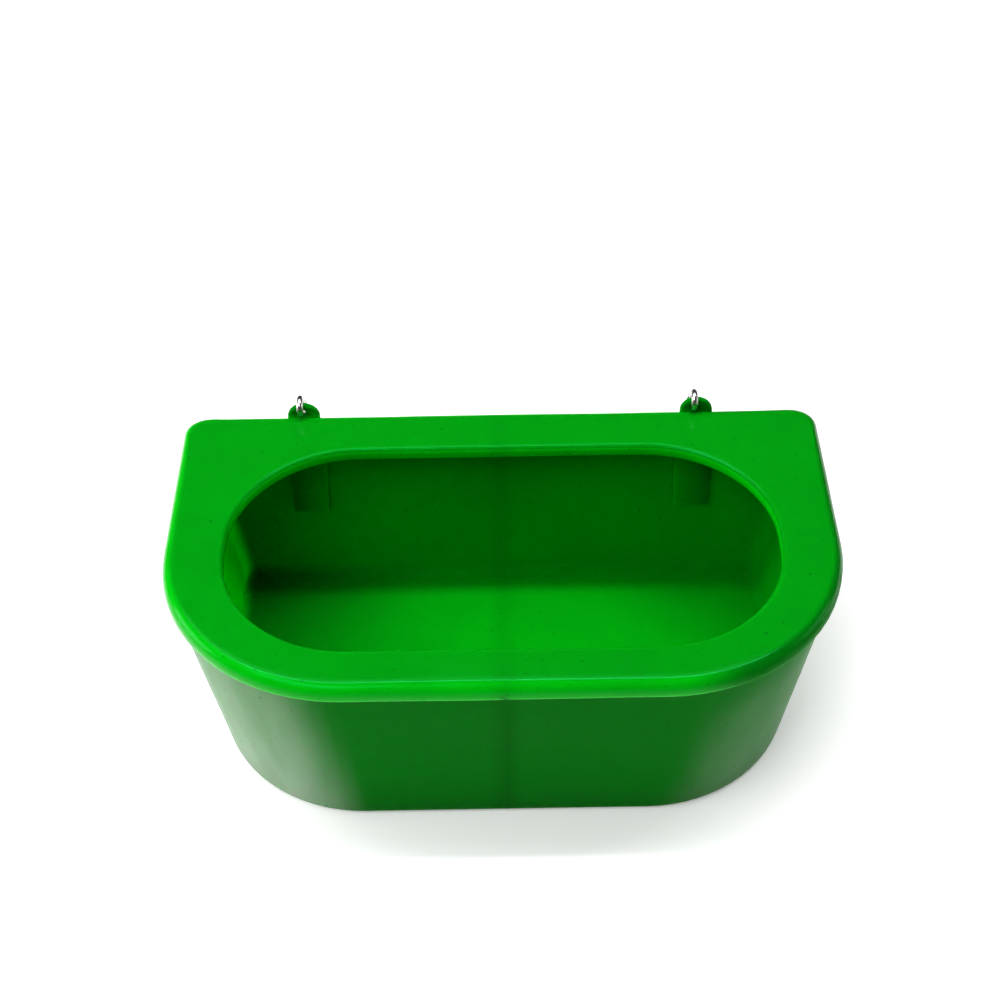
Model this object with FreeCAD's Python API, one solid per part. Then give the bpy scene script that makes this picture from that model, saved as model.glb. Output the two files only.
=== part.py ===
"""Hanging feed trough with two spring snap hooks, in millimetres.

A one-piece moulded trough with a flat back stands on the XY plane.  +Z is up, +Y points to
the flat back and +X to the right of someone who faces the back.  The origin is on the
ground, under the middle of the rim.  A snap hook hangs from each of the two ears.
"""

import FreeCAD, Part
import math
import os

V = FreeCAD.Vector

# ---- trough: driving dimensions -------------------------------------------------------
RIM_WIDTH = 540.0
RIM_DEPTH = 310.0
RIM_HEIGHT = 184.0
RIM_BACK_RADIUS = 18.0
RIM_FRONT_RADIUS = 149.0
RIM_BAND = 16.0            # height of the turned-down outer band
RIM_OVERHANG = 4.8         # how far the band stands out from the wall
RIM_TOP_ROUND = 9.0
RIM_LOWER_ROUND = 2.0
WALL = 4.5

BASE_WIDTH = 476.0
BASE_FRONT_INSET = 24.0    # from the rim's front edge to the base's front edge
BASE_BACK_INSET = 12.0
BASE_BACK_RADIUS = 18.0
BASE_FRONT_RADIUS = 124.0
BASE_ROUND = 7.0
FLOOR_FILLET = 11.0

OPENING_WIDTH = 443.0
OPENING_BACK = 107.0
OPENING_FRONT = -115.5
OPENING_RADIUS = 104.0
OPENING_ROUND = 4.5
LIP_DROP = 11.5            # from the rim's top to the lip's lower edge
LIP_EDGE_ROUND = 1.8
EDGE_MARGIN = 1.0          # room round the lip when its edges are picked out
LEVEL = 1e-3               # how closely an edge has to lie on a plane to be picked out

# ---- lugs and ears on the back: driving dimensions --------------------------------------
EAR_SPACING = 336.0
EAR_RADIUS = 14.0
EAR_CENTRE_DROP = 2.0      # ear arc centre below the rim's top
EAR_THICKNESS = 5.5
EAR_BACK_PROUD = 0.75      # ear and lug stand this far behind the rim
EAR_EDGE_ROUND = 1.4
EAR_HOLE_RADIUS = 3.95
EAR_HOLE_SHIFT = -1.6      # the holes sit to one side of their ears
EAR_BAR = 4.2              # material left above the hole
LUG_TOP_WIDTH = 38.0
LUG_FOOT_WIDTH = 30.0
LUG_TOP_DROP = 5.0         # from the rim's top to the lug's top
LUG_DROP = 100.0           # from the rim's top to where the lug dies into the wall
EAR_FOOT_DROP = 10.0       # from the rim's top to the ear's foot, inside the rim

# ---- snap hooks: driving dimensions, in the hook's own plane -----------------------------
WIRE_RADIUS = 2.75
EYE_RADIUS = 6.75          # centre line of the closed eye
HOOK_SHIFT = -2.2          # the hooks sit to one side of their ears
SHANK_OFFSET = 5.9         # shank centre line behind the eye's centre
TOP_ARC_RADIUS = 6.0
TOP_ARC_DROP = 12.6        # top arc's centre below the eye's centre
BOW_RADIUS = 11.0
BOW_DROP = 44.6            # bow's centre below the eye's centre

GATE_RADIUS = 3.25
GATE_LENGTH = 25.0         # from the pivot to the gate's free end
GATE_SLOT_WIDTH = 3.3
GATE_SLOT_END = 4.3
GATE_END_ROUND = 0.6
GATE_NOSE_SLOT = 21.0      # where the slot for the hook's nose begins
GATE_NOSE_FLOOR = 1.5      # slot floor, on the inner side of the gate's axis
GATE_BORE_RADIUS = 1.38
GATE_BORE_END = 17.0

TANG_THICKNESS = 3.0
TANG_REACH = 2.75          # cam flat's distance from the pivot
TANG_CLEARING = 4.6
NOSE_THICKNESS = 2.6
NOSE_TIP = 21.5
NOSE_ROOT = 25.3
NOSE_INNER = 1.2           # nose edge, on the inner side of the gate's axis

PIN_RADIUS = 1.1
PIN_RUNNING_GAP = 0.05
PIN_HEAD_RADIUS = 1.9
PIN_HEAD_THICKNESS = 0.6
PIN_HEAD_GAP = 0.1

PLUNGER_RADIUS = 1.3
PLUNGER_START = 2.83
PLUNGER_LENGTH = 5.5
SPRING_WIRE_RADIUS = 0.16
SPRING_COIL_RADIUS = 1.05
SPRING_TURNS = 9
SPRING_END_GAP = 0.06

# ---- derived sizes ----------------------------------------------------------------------
HALF_DEPTH = RIM_DEPTH / 2
BAND_BOTTOM = RIM_HEIGHT - RIM_BAND
EAR_BACK = HALF_DEPTH + EAR_BACK_PROUD
EAR_TOP = RIM_HEIGHT - EAR_CENTRE_DROP + EAR_RADIUS
EAR_HOLE_HEIGHT = EAR_TOP - EAR_BAR - EAR_HOLE_RADIUS
EYE_Y = EAR_BACK - EAR_THICKNESS / 2
EYE_Z = EAR_TOP - EAR_BAR / 2

PIVOT_Y = SHANK_OFFSET + 2 * TOP_ARC_RADIUS
PIVOT_Z = -TOP_ARC_DROP
BOW_Y = SHANK_OFFSET + BOW_RADIUS
BOW_Z = -BOW_DROP
PIVOT_TO_BOW = math.hypot(BOW_Y - PIVOT_Y, BOW_Z - PIVOT_Z)
# The gate's axis runs from the pivot along a tangent of the bow.
GATE_LEAN = math.asin(BOW_RADIUS / PIVOT_TO_BOW) + math.atan2(BOW_Y - PIVOT_Y, PIVOT_Z - BOW_Z)
GATE_TO_BOW = math.sqrt(PIVOT_TO_BOW ** 2 - BOW_RADIUS ** 2)


def arc(centre, radius, start, end):
    """Edge of a circle about +Z through centre, from start to end in degrees."""
    def point(angle):
        turn = math.radians(angle)
        return centre + V(radius * math.cos(turn), radius * math.sin(turn), 0)

    return Part.Arc(point(start), point((start + end) / 2), point(end)).toShape()


def outline(half_width, back, front, back_radius, front_radius, height):
    """Closed wire of a D-plan outline: small back corners and large front corners."""
    right_back = V(half_width - back_radius, back - back_radius, height)
    left_back = V(-half_width + back_radius, back - back_radius, height)
    left_front = V(-half_width + front_radius, front + front_radius, height)
    right_front = V(half_width - front_radius, front + front_radius, height)
    corners = [
        arc(right_back, back_radius, 0, 90),
        arc(left_back, back_radius, 90, 180),
        arc(left_front, front_radius, 180, 270),
        arc(right_front, front_radius, 270, 360),
    ]
    edges = []
    for index, corner in enumerate(corners):
        following = corners[(index + 1) % len(corners)]
        edges.append(corner)
        edges.append(Part.makeLine(corner.Vertexes[-1].Point, following.Vertexes[0].Point))
    return Part.Wire(edges)


def wall_outline(height, inset):
    """Outline of the tapered wall at a height, moved inwards by inset."""
    share = height / BAND_BOTTOM
    top_half_width = RIM_WIDTH / 2 - RIM_OVERHANG

    def between(base, top):
        return base + (top - base) * share

    half_width = between(BASE_WIDTH / 2, top_half_width) - inset
    back = between(HALF_DEPTH - BASE_BACK_INSET, HALF_DEPTH - RIM_OVERHANG) - inset
    front = between(BASE_FRONT_INSET - HALF_DEPTH, RIM_OVERHANG - HALF_DEPTH) + inset
    back_radius = between(BASE_BACK_RADIUS, RIM_BACK_RADIUS - RIM_OVERHANG) - inset
    front_radius = between(BASE_FRONT_RADIUS, RIM_FRONT_RADIUS - RIM_OVERHANG) - inset
    return outline(half_width, back, front, back_radius, front_radius, height)


def rim_outline(inset, height):
    """Outline of the rim, moved inwards by inset."""
    half_width = RIM_WIDTH / 2 - inset
    half_depth = HALF_DEPTH - inset
    back_radius = RIM_BACK_RADIUS - inset
    front_radius = RIM_FRONT_RADIUS - inset
    return outline(half_width, half_depth, -half_depth, back_radius, front_radius, height)


def opening_outline(outset, height):
    """Outline of the feed opening, moved outwards by outset."""
    half_width = OPENING_WIDTH / 2 + outset
    radius = OPENING_RADIUS + outset
    return outline(half_width, OPENING_BACK + outset, OPENING_FRONT - outset, radius, radius, height)


def prism(wire, depth):
    """Upright solid on a closed flat wire."""
    return Part.Face(wire).extrude(V(0, 0, depth))


def edges_at_height(shape, height):
    """Edges that lie level at a height."""
    found = []
    for edge in shape.Edges:
        box = edge.BoundBox
        if abs(box.ZMin - height) < LEVEL and abs(box.ZMax - height) < LEVEL:
            found.append(edge)
    return found


def lip_edges(shape, height):
    """Level edges at a height that belong to the feed opening or its lip."""
    reach = WALL + EDGE_MARGIN
    half_width = OPENING_WIDTH / 2 + reach
    found = []
    for edge in edges_at_height(shape, height):
        box = edge.BoundBox
        in_width = box.XMin > -half_width and box.XMax < half_width
        in_depth = box.YMin > OPENING_FRONT - reach and box.YMax < OPENING_BACK + reach
        if in_width and in_depth:
            found.append(edge)
    return found


def lug_block(side, inset):
    """Tapered lug on the back wall; a positive inset gives the hollow inside it."""
    centre = side * EAR_SPACING / 2
    top = RIM_HEIGHT - LUG_TOP_DROP - inset
    foot = RIM_HEIGHT - LUG_DROP
    taper = (BASE_BACK_INSET - RIM_OVERHANG) / BAND_BOTTOM
    wall_back_at_foot = HALF_DEPTH - BASE_BACK_INSET + taper * foot
    sections = []
    for height, width, back in (
        (foot, LUG_FOOT_WIDTH, wall_back_at_foot),
        (BAND_BOTTOM, LUG_TOP_WIDTH, EAR_BACK),
        (top, LUG_TOP_WIDTH, EAR_BACK),
    ):
        half = width / 2 - inset
        front = back - EAR_BACK_PROUD - WALL - BASE_BACK_INSET
        corners = [
            V(centre - half, front, height),
            V(centre + half, front, height),
            V(centre + half, back - inset, height),
            V(centre - half, back - inset, height),
        ]
        sections.append(Part.makePolygon(corners + corners[:1]))
    return Part.makeLoft(sections, True, True)


def ear(side):
    """Ear plate that rises behind the rim, with its round hole."""
    centre = side * EAR_SPACING / 2
    arc_height = RIM_HEIGHT - EAR_CENTRE_DROP
    foot_left = V(centre - EAR_RADIUS, EAR_BACK, RIM_HEIGHT - EAR_FOOT_DROP)
    foot_right = V(centre + EAR_RADIUS, EAR_BACK, RIM_HEIGHT - EAR_FOOT_DROP)
    left = V(centre - EAR_RADIUS, EAR_BACK, arc_height)
    right = V(centre + EAR_RADIUS, EAR_BACK, arc_height)
    wire = Part.Wire([
        Part.makeLine(foot_left, foot_right),
        Part.makeLine(foot_right, right),
        Part.Arc(right, V(centre, EAR_BACK, EAR_TOP), left).toShape(),
        Part.makeLine(left, foot_left),
    ])
    plate = Part.Face(wire).extrude(V(0, -EAR_THICKNESS, 0))
    rounded = [
        edge for edge in plate.Edges
        if edge.BoundBox.ZMax > arc_height and edge.BoundBox.YLength < LEVEL
    ]
    plate = plate.makeFillet(EAR_EDGE_ROUND, rounded)
    hole_start = V(centre + EAR_HOLE_SHIFT, EYE_Y - 2 * EAR_THICKNESS, EAR_HOLE_HEIGHT)
    hole = Part.makeCylinder(EAR_HOLE_RADIUS, 4 * EAR_THICKNESS, hole_start, V(0, 1, 0))
    return plate, hole


def trough_shell():
    """The moulded trough: tapered wall, floor, hollow rim, turned-down lip, lugs and ears."""
    wall = Part.makeLoft([wall_outline(0, 0), wall_outline(BAND_BOTTOM + WALL, 0)], True, True)
    wall = wall.makeFillet(BASE_ROUND, edges_at_height(wall, 0))

    rim = prism(rim_outline(0, BAND_BOTTOM), RIM_BAND)
    rim = rim.makeFillet(RIM_TOP_ROUND, edges_at_height(rim, RIM_HEIGHT))
    rim = rim.makeFillet(RIM_LOWER_ROUND, edges_at_height(rim, BAND_BOTTOM))

    cavity_top = BAND_BOTTOM + 2 * WALL
    cavity = Part.makeLoft([wall_outline(WALL, WALL), wall_outline(cavity_top, WALL)], True, True)
    cavity = cavity.makeFillet(FLOOR_FILLET, edges_at_height(cavity, WALL))
    rim_hollow = prism(rim_outline(WALL, BAND_BOTTOM + WALL), RIM_BAND - 2 * WALL)
    hollow = cavity.fuse(rim_hollow)

    outside = wall.fuse(rim)
    for side in (-1, 1):
        outside = outside.fuse(lug_block(side, 0))
        hollow = hollow.fuse(lug_block(side, WALL))

    lip = prism(opening_outline(WALL, RIM_HEIGHT - LIP_DROP), LIP_DROP)
    opening = prism(opening_outline(0, RIM_HEIGHT - 2 * LIP_DROP), 3 * LIP_DROP)
    shell = outside.cut(hollow.cut(lip)).cut(opening)

    shell = shell.makeFillet(OPENING_ROUND, lip_edges(shell, RIM_HEIGHT))
    shell = shell.makeFillet(LIP_EDGE_ROUND, lip_edges(shell, RIM_HEIGHT - LIP_DROP))

    for side in (-1, 1):
        plate, hole = ear(side)
        shell = shell.fuse(plate).cut(hole)
    return shell.removeSplitter().Solids[0]


def in_hook_plane(y, z):
    """Point of the hook's own plane."""
    return V(0, y, z)


def gate_to_hook(shape):
    """Moves a shape from the gate's frame, pivot at the origin and axis down, into the hook's."""
    placed = shape.copy()
    placed.rotate(V(0, 0, 0), V(1, 0, 0), math.degrees(GATE_LEAN))
    placed.translate(V(0, PIVOT_Y, PIVOT_Z))
    return placed


def gate_axis_point(distance):
    """Point of the hook's plane, on the gate's axis, at a distance from the pivot."""
    return in_hook_plane(
        PIVOT_Y + distance * math.sin(GATE_LEAN), PIVOT_Z - distance * math.cos(GATE_LEAN)
    )


def cross_cylinder(radius, thickness, y=0.0, z=0.0):
    """Cylinder along X, centred on x = 0."""
    return Part.makeCylinder(radius, thickness, V(-thickness / 2, y, z), V(1, 0, 0))


def centred_box(width, y_low, y_high, z_low, z_high):
    """Box centred on x = 0, from one y and z to another."""
    return Part.makeBox(width, y_high - y_low, z_high - z_low, V(-width / 2, y_low, z_low))


def plane_arc(y, z, radius, start, end):
    """Arc in the hook's plane, with angles in degrees from +Y towards +Z."""
    def point(angle):
        turn = math.radians(angle)
        return in_hook_plane(y + radius * math.cos(turn), z + radius * math.sin(turn))

    return Part.Arc(point(start), point((start + end) / 2), point(end)).toShape()


def snap_body():
    """Round-bar hook with a closed eye, a cam tang for the gate and a flat nose."""
    lean = math.degrees(GATE_LEAN)
    nose_end = gate_axis_point(NOSE_ROOT)
    path = Part.Wire([
        Part.makeLine(nose_end, gate_axis_point(GATE_TO_BOW)),
        plane_arc(BOW_Y, BOW_Z, BOW_RADIUS, lean, -90),
        plane_arc(BOW_Y, BOW_Z, BOW_RADIUS, -90, -180),
        Part.makeLine(in_hook_plane(SHANK_OFFSET, BOW_Z), in_hook_plane(SHANK_OFFSET, PIVOT_Z)),
        plane_arc(SHANK_OFFSET + TOP_ARC_RADIUS, PIVOT_Z, TOP_ARC_RADIUS, 180, 0),
    ])
    heading = nose_end - gate_axis_point(GATE_TO_BOW)
    section = Part.Wire([Part.makeCircle(WIRE_RADIUS, nose_end, heading)])
    bar = path.makePipeShell([section], True, False)

    clearing = cross_cylinder(TANG_CLEARING, 4 * WIRE_RADIUS, PIVOT_Y, PIVOT_Z)
    clearing = clearing.cut(centred_box(
        TANG_THICKNESS, PIVOT_Y - 2 * TANG_CLEARING, PIVOT_Y + 2 * TANG_CLEARING,
        PIVOT_Z - 2 * TANG_CLEARING, PIVOT_Z + 2 * TANG_CLEARING
    ))
    tang = cross_cylinder(TANG_REACH, TANG_THICKNESS)
    tang = tang.fuse(centred_box(TANG_THICKNESS, -TANG_REACH, TANG_REACH, -TANG_REACH, 0))
    nose = centred_box(NOSE_THICKNESS, -NOSE_INNER, WIRE_RADIUS, -NOSE_ROOT - WIRE_RADIUS, -NOSE_TIP)
    tip_edges = [
        edge for edge in nose.Edges
        if edge.BoundBox.ZMin > -NOSE_TIP - LEVEL and edge.BoundBox.YLength < LEVEL
    ]
    nose = nose.makeFillet(NOSE_INNER / 2, tip_edges)

    eye = Part.makeTorus(EYE_RADIUS, WIRE_RADIUS, V(0, 0, 0), V(1, 0, 0))
    body = bar.cut(clearing).fuse(gate_to_hook(tang)).fuse(gate_to_hook(nose)).fuse(eye)
    pin_hole = cross_cylinder(PIN_RADIUS, 2 * TANG_THICKNESS, PIVOT_Y, PIVOT_Z)
    return body.cut(pin_hole).Solids[0]


def gate():
    """Tubular gate, forked at the pivot, bored for its spring and slotted for the nose."""
    tube = Part.makeCylinder(GATE_RADIUS, GATE_LENGTH, V(0, 0, 0), V(0, 0, -1))
    end_edges = edges_at_height(tube, -GATE_LENGTH)
    tube = tube.makeFillet(GATE_END_ROUND, end_edges)
    # Round the pivot, the tube ends as a cylinder along X that keeps inside the tube's width.
    tail = cross_cylinder(GATE_RADIUS, 2 * GATE_RADIUS)
    tail_stock = Part.makeCylinder(GATE_RADIUS, 2 * GATE_RADIUS, V(0, 0, -GATE_RADIUS), V(0, 0, 1))
    body = tube.fuse(tail.common(tail_stock))
    fork = centred_box(GATE_SLOT_WIDTH, -2 * GATE_RADIUS, 2 * GATE_RADIUS, -GATE_SLOT_END, 2 * GATE_RADIUS)
    nose_slot = centred_box(
        GATE_SLOT_WIDTH, -GATE_NOSE_FLOOR, 2 * GATE_RADIUS, -2 * GATE_LENGTH, -GATE_NOSE_SLOT
    )
    bore = Part.makeCylinder(GATE_BORE_RADIUS, GATE_BORE_END, V(0, 0, 0), V(0, 0, -1))
    pin_hole = cross_cylinder(PIN_RADIUS + PIN_RUNNING_GAP, 4 * GATE_RADIUS)
    body = body.cut(fork).cut(nose_slot).cut(bore).cut(pin_hole)
    return gate_to_hook(body.removeSplitter().Solids[0])


def gate_pin():
    """Rivet through the gate's fork and the hook's tang, with a head at each end."""
    head_start = GATE_RADIUS + PIN_HEAD_GAP
    pin = cross_cylinder(PIN_RADIUS, 2 * (head_start + PIN_HEAD_THICKNESS))
    for side in (-1, 1):
        head = Part.makeCylinder(
            PIN_HEAD_RADIUS, PIN_HEAD_THICKNESS, V(side * head_start, 0, 0), V(side, 0, 0)
        )
        outer_x = side * (head_start + PIN_HEAD_THICKNESS)
        crown = [
            edge for edge in head.Edges
            if abs(edge.BoundBox.XMin - outer_x) < LEVEL and edge.BoundBox.XLength < LEVEL
        ]
        pin = pin.fuse(head.makeFillet(PIN_HEAD_THICKNESS / 2, crown))
    return gate_to_hook(pin.Solids[0])


def gate_plunger():
    """Domed pin inside the gate; its dome rests on the tang's flat."""
    dome_centre = -PLUNGER_START - PLUNGER_RADIUS
    stem_length = PLUNGER_LENGTH - PLUNGER_RADIUS
    stem = Part.makeCylinder(PLUNGER_RADIUS, stem_length, V(0, 0, dome_centre), V(0, 0, -1))
    dome = Part.makeSphere(PLUNGER_RADIUS, V(0, 0, dome_centre))
    return gate_to_hook(stem.fuse(dome).removeSplitter().Solids[0])


def gate_spring():
    """Compression spring between the plunger and the end of the gate's bore."""
    start = PLUNGER_START + PLUNGER_LENGTH + SPRING_END_GAP + SPRING_WIRE_RADIUS
    length = GATE_BORE_END - SPRING_END_GAP - SPRING_WIRE_RADIUS - start
    helix = Part.makeHelix(length / SPRING_TURNS, length, SPRING_COIL_RADIUS)
    section = Part.Wire([Part.makeCircle(SPRING_WIRE_RADIUS, V(SPRING_COIL_RADIUS, 0, 0), V(0, 1, 0))])
    coil = Part.Wire(helix.Edges).makePipeShell([section], True, True)
    coil.translate(V(0, 0, -start - length))
    return gate_to_hook(coil)


def export(shape, node):
    """Writes one node, after a check that it is one valid closed solid."""
    if not shape.isValid() or len(shape.Solids) != 1:
        raise RuntimeError(f"{node}: {len(shape.Solids)} solids, valid {shape.isValid()}")
    shape.Solids[0].exportStep(f"parts/{node}.step")
    box = shape.BoundBox
    print(f"{node}: {shape.Volume:.1f} mm3, x {box.XMin:.1f}..{box.XMax:.1f},"
          f" y {box.YMin:.1f}..{box.YMax:.1f}, z {box.ZMin:.1f}..{box.ZMax:.1f}")


def main():
    """Builds every node and places the hook's pieces at both ears."""
    os.makedirs("parts", exist_ok=True)
    export(trough_shell(), "trough_shell")
    hook_pieces = {
        "snap_body": snap_body(),
        "snap_gate": gate(),
        "gate_pin": gate_pin(),
        "gate_plunger": gate_plunger(),
        "gate_spring": gate_spring(),
    }
    for name, side in (("left", -1), ("right", 1)):
        place = V(side * EAR_SPACING / 2 + HOOK_SHIFT, EYE_Y, EYE_Z)
        for piece, shape in hook_pieces.items():
            placed = shape.copy()
            placed.translate(place)
            export(placed, f"{name}_{piece}")
    pivot = V(0, EYE_Y + PIVOT_Y, EYE_Z + PIVOT_Z)
    print(f"eye centre y {EYE_Y:.4f} z {EYE_Z:.4f}, gate pivot y {pivot.y:.4f} z {pivot.z:.4f},"
          f" gate lean {math.degrees(GATE_LEAN):.4f} degrees")


main()
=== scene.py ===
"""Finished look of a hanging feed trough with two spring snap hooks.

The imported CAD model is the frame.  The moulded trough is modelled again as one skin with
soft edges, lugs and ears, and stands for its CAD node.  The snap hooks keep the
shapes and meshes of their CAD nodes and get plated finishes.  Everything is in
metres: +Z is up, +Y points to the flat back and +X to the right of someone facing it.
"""

import logging
import math
from dataclasses import dataclass, field
from enum import Enum
from typing import Callable, Sequence

import bpy
from mathutils import Matrix, Vector


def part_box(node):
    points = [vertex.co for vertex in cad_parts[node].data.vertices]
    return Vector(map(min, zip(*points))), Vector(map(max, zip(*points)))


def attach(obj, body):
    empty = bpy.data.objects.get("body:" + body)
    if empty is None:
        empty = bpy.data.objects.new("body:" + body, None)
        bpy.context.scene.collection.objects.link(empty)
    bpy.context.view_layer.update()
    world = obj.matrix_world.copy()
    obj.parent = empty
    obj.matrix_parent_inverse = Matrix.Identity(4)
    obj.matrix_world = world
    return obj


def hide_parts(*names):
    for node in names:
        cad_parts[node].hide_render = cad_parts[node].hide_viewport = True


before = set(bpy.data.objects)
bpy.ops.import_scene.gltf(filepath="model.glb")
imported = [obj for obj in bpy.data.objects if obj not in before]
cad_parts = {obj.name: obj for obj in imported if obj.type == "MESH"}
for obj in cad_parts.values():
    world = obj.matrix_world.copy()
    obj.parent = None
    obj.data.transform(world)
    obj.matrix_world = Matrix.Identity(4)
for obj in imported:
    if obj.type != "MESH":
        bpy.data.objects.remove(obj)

logging.basicConfig(level=logging.INFO, format="%(name)s: %(message)s")
LOG = logging.getLogger("feed_trough")

Point = tuple[float, float, float]
Colour = tuple[float, float, float, float]
TINY = 1e-6
NEAR = 2e-4


class Side(Enum):
    """Which of the two ears and hooks a piece belongs to."""

    LEFT = "left"
    RIGHT = "right"

    @property
    def sign(self) -> int:
        """Direction of the side along X."""
        return -1 if self is Side.LEFT else 1


class PickMode(Enum):
    """What an edit-mode selection is made of, as Blender's three selection flags."""

    VERTEX = (True, False, False)
    EDGE = (False, True, False)
    FACE = (False, False, True)


# ---- modelling helpers ------------------------------------------------------------------


def deselect_all() -> None:
    """Leave edit mode and deselect every object."""
    if bpy.context.object and bpy.context.object.mode != "OBJECT":
        bpy.ops.object.mode_set(mode="OBJECT")
    bpy.ops.object.select_all(action="DESELECT")


def make_active(piece: bpy.types.Object) -> None:
    """Make a piece the only selected object and the active one.

    Args:
        piece: The object to work on next.
    """
    deselect_all()
    piece.select_set(True)
    bpy.context.view_layer.objects.active = piece


def pick(piece: bpy.types.Object, mode: PickMode, test: Callable[[Vector], bool]) -> None:
    """Select elements of a piece by their place, and stay in edit mode.

    Args:
        piece: The mesh object to select in.
        mode: Vertices, edges or faces.
        test: Says whether an element at a place is selected.  An edge needs both its ends
            to pass, and a face its centre.
    """
    make_active(piece)
    bpy.context.tool_settings.mesh_select_mode = mode.value
    bpy.ops.object.mode_set(mode="EDIT")
    bpy.ops.mesh.select_all(action="DESELECT")
    bpy.ops.object.mode_set(mode="OBJECT")
    mesh = piece.data
    chosen = [test(vertex.co) for vertex in mesh.vertices]
    if mode is PickMode.VERTEX:
        for vertex in mesh.vertices:
            vertex.select = chosen[vertex.index]
    elif mode is PickMode.EDGE:
        for edge in mesh.edges:
            edge.select = all(chosen[index] for index in edge.vertices)
    else:
        for face in mesh.polygons:
            face.select = test(face.center)
    bpy.ops.object.mode_set(mode="EDIT")


def round_sharp_edges(
    piece: bpy.types.Object, radius: float, segments: int, test: Callable[[Vector], bool]
) -> None:
    """Bevel the sharp edges of a piece that lie where the test says.

    Args:
        piece: The mesh object to round.
        radius: Radius of the round, in metres.
        segments: Number of faces across the round.
        test: Says whether a place belongs to the edges wanted; both ends have to pass.
    """
    make_active(piece)
    bpy.context.tool_settings.mesh_select_mode = PickMode.EDGE.value
    bpy.ops.object.mode_set(mode="EDIT")
    bpy.ops.mesh.select_all(action="DESELECT")
    bpy.ops.mesh.edges_select_sharp(sharpness=math.radians(40))
    bpy.ops.object.mode_set(mode="OBJECT")
    mesh = piece.data
    wanted = [
        edge.index for edge in mesh.edges
        if edge.select and all(test(mesh.vertices[index].co) for index in edge.vertices)
    ]
    for part in (mesh.vertices, mesh.edges, mesh.polygons):
        part.foreach_set("select", [False] * len(part))
    for index in wanted:
        mesh.edges[index].select = True
    bpy.ops.object.mode_set(mode="EDIT")
    bpy.ops.mesh.bevel(
        offset=radius, offset_type="OFFSET", segments=segments, profile=0.5, affect="EDGES"
    )
    bpy.ops.object.mode_set(mode="OBJECT")


def apply_modifier(piece: bpy.types.Object, kind: str, **settings: object) -> None:
    """Add a modifier to a piece and apply it.

    Args:
        piece: The mesh object.
        kind: Blender's name of the modifier's type.
        **settings: Values set on the modifier before it is applied.
    """
    make_active(piece)
    modifier = piece.modifiers.new(kind.lower(), kind)
    for name, value in settings.items():
        setattr(modifier, name, value)
    bpy.ops.object.modifier_apply(modifier=modifier.name)


def boolean(piece: bpy.types.Object, tool: bpy.types.Object, operation: str) -> None:
    """Join a solid to a piece or cut it out, and remove the tool.

    Args:
        piece: The mesh object that stays.
        tool: The closed solid to join or cut with.
        operation: Blender's name of the operation, UNION or DIFFERENCE.
    """
    apply_modifier(piece, "BOOLEAN", operation=operation, object=tool, solver="EXACT")
    bpy.data.objects.remove(tool)


def face_outwards(piece: bpy.types.Object) -> None:
    """Merge double vertices and point every face outwards.

    Args:
        piece: The closed mesh object.
    """
    make_active(piece)
    bpy.ops.object.mode_set(mode="EDIT")
    bpy.ops.mesh.select_all(action="SELECT")
    bpy.ops.mesh.remove_doubles(threshold=1e-5)
    bpy.ops.mesh.normals_make_consistent(inside=False)
    bpy.ops.object.mode_set(mode="OBJECT")


def smooth(piece: bpy.types.Object, angle: float) -> None:
    """Shade a piece smooth, apart from edges sharper than an angle in degrees."""
    make_active(piece)
    bpy.ops.object.shade_smooth_by_angle(angle=math.radians(angle))


# ---- finishes ---------------------------------------------------------------------------


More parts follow.
